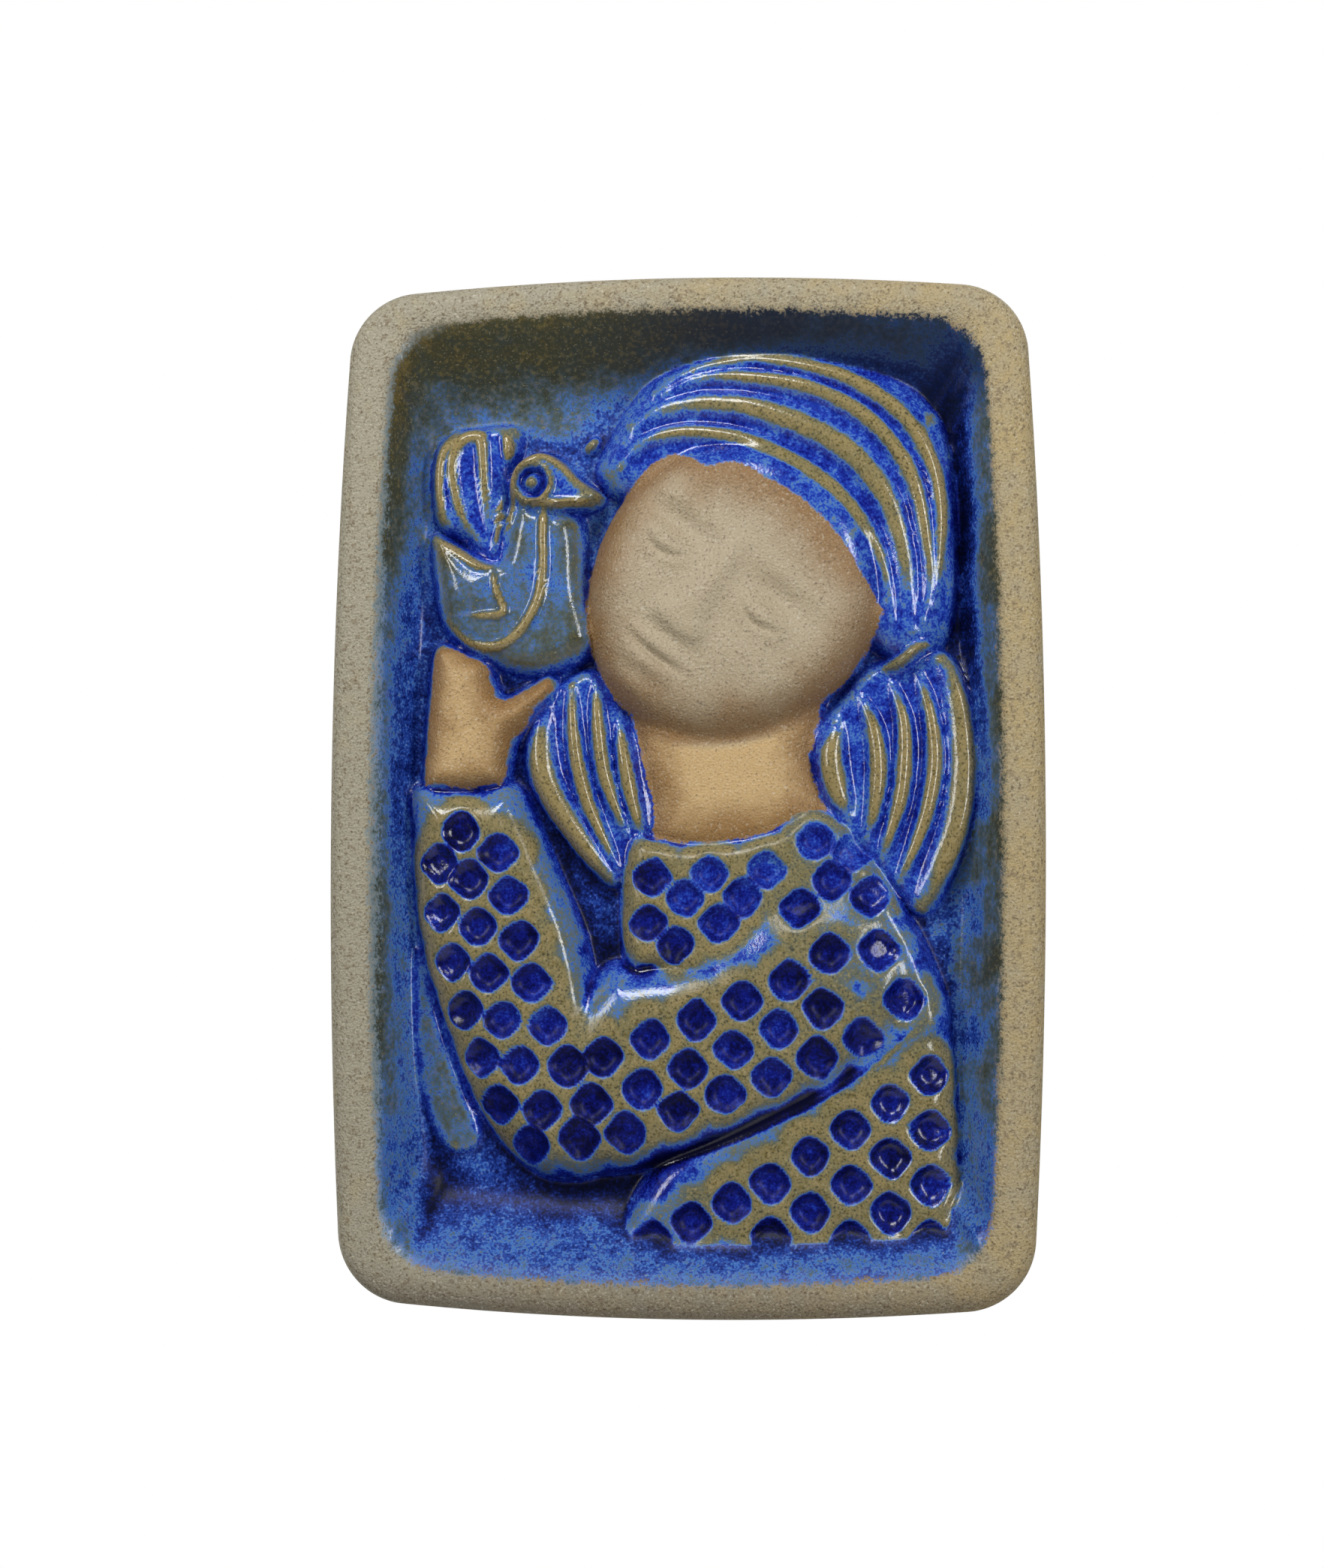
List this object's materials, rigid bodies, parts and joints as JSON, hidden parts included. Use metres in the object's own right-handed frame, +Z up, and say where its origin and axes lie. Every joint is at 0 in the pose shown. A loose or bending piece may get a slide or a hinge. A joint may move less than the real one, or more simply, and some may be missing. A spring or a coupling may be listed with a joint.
{
  "type": "decorative wall plaque",
  "caption": "Cast stoneware wall plaque with a raised bare rim and a deep recess that holds a glazed relief of a girl and a bird.",
  "frame": {"origin": "centre of the flat back face, which lies against the wall", "axes": "+X to the right as seen from the front, +Y into the wall, +Z up; the relief faces -Y"},
  "size_m": [0.192, 0.028, 0.28],
  "materials": {
    "stoneware": "bare sand-coloured grogged clay on rim, face and hands; running blue and olive glaze elsewhere"
  },
  "bodies": {
    "root": {"plaque": "stoneware"}
  },
  "joints": []
}
